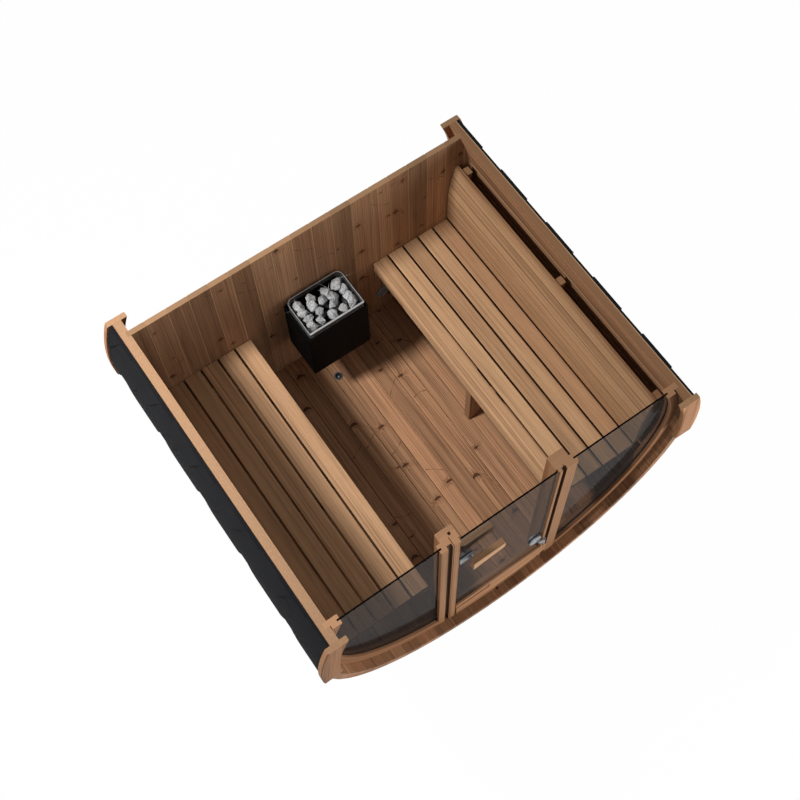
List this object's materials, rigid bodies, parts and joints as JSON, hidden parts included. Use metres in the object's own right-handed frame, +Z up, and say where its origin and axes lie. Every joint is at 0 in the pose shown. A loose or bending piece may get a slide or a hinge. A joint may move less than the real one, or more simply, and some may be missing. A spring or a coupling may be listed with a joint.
{
  "type": "cutaway barrel sauna",
  "caption": "Barrel sauna cut open by a level plane: round staved shell, glazed front with hinged glass door and lever handle, benches, stone heater, plank floor.",
  "frame": {"origin": "on the ground under the middle of the barrel", "axes": "+X across, towards the door's hinges and the bench with the backrest; +Y along the barrel from the door to the rear wall; +Z up"},
  "size_m": [2.138, 1.882, 1.457],
  "materials": {
    "bench_wood": "clear straight-grained heat-treated hardwood, sanded",
    "chrome": "polished",
    "cradle_wood": "thermo-treated softwood, sawn",
    "floor_wood": "thermo-treated softwood, planed, knotty",
    "frame_wood": "thermo-treated softwood, planed",
    "heater_black": "matt black powder coat",
    "lever_wood": "sanded hardwood",
    "shingle": "black mineral-surfaced bitumen shingles",
    "smoked_glass": "smoked toughened glass",
    "stave_wood": "thermo-treated softwood, planed",
    "steel": "brushed",
    "stone": "rough, split",
    "trim_wood": "thermo-treated softwood, planed",
    "vent_grey": "grey paint",
    "wall_wood": "thermo-treated softwood, planed, knotty"
  },
  "bodies": {
    "sauna": {"back_trim_left": "trim_wood", "back_trim_right": "trim_wood", "backrest_slats": "bench_wood", "backrest_uprights": "bench_wood", "bench_bearers": "bench_wood", "bench_fascias": "bench_wood", "bench_legs": "bench_wood", "cradles": "cradle_wood", "door_sill": "frame_wood", "floor_boards": "floor_wood", "floor_drain": "chrome", "floor_joists": "floor_wood", "front_trim_left": "trim_wood", "front_trim_right": "trim_wood", "heater_basket": "steel", "heater_body": "heater_black", "heater_bracket": "heater_black", "heater_rim": "steel", "heater_stones": "stone", "hinge_plate": "chrome", "left_bench_seat": "bench_wood", "left_door_post": "frame_wood", "left_window_frame": "frame_wood", "left_window_glass": "smoked_glass", "rear_wall": "wall_wood", "right_bench_seat": "bench_wood", "right_door_post": "frame_wood", "right_window_frame": "frame_wood", "right_window_glass": "smoked_glass", "roof_covers": "shingle", "shell_left_bottom": "stave_wood", "shell_left_lower": "stave_wood", "shell_left_top": "stave_wood", "shell_left_upper": "stave_wood", "shell_right_bottom": "stave_wood", "shell_right_lower": "stave_wood", "shell_right_top": "stave_wood", "shell_right_upper": "stave_wood", "sill_ring": "frame_wood", "strike_plate": "chrome", "wall_vent": "vent_grey"},
    "door": {"door_glass": "smoked_glass", "hinge_clamps": "chrome", "lock_case": "chrome"},
    "lever": {"inner_lever": "lever_wood", "lever_spindle": "chrome", "outer_lever": "lever_wood"}
  },
  "joints": [
    {"name": "door_hinge", "type": "hinge", "parent": "sauna", "child": "door", "pos_m": [0.272, -0.875, 0.9], "axis": [0, 0, 1], "range_deg": [0, 100]},
    {"name": "lever_turn", "type": "hinge", "parent": "door", "child": "lever", "pos_m": [-0.211, -0.851, 1.098], "axis": [0, 1, 0], "range_deg": [0, 40], "stiffness_Nm_per_rad": 1.2, "springref_deg": -28.65}
  ]
}
